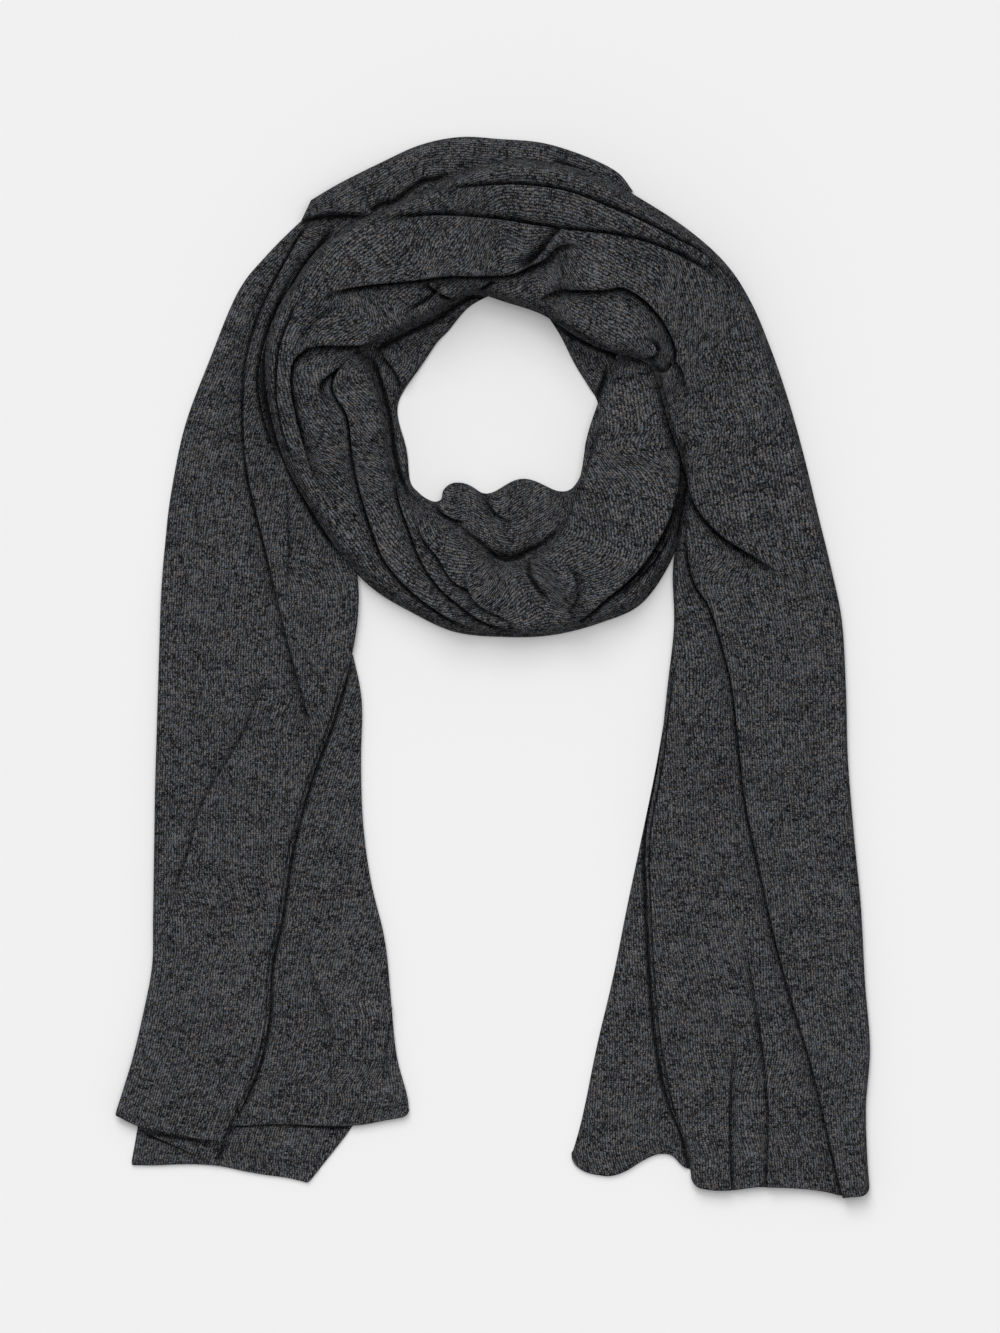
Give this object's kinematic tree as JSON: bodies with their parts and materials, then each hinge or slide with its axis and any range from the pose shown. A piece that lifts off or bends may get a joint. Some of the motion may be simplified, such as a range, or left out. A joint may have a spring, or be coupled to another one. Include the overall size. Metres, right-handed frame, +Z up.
{
  "type": "travel wrap",
  "caption": "Fine jersey-knit travel wrap laid flat, wound once round into a neck hole with two long pleated tails.",
  "frame": {"origin": "the middle of the laid wrap's outline, on the surface it lies on", "axes": "+X to the right tail, +Y from the tails to the neck hole, +Z up out of the surface"},
  "size_m": [0.4754, 0.665, 0.0458],
  "materials": {
    "jersey": "matt charcoal melange fine-gauge jersey knit with a soft fuzz"
  },
  "bodies": {
    "root": {"tail_left_under": "jersey", "tail_left_middle": "jersey", "tail_left_inner": "jersey", "tail_left_front": "jersey", "tail_right_back": "jersey", "tail_right_front": "jersey", "loop_back": "jersey", "loop_front": "jersey", "cross_front": "jersey", "band_top": "jersey"}
  },
  "joints": []
}
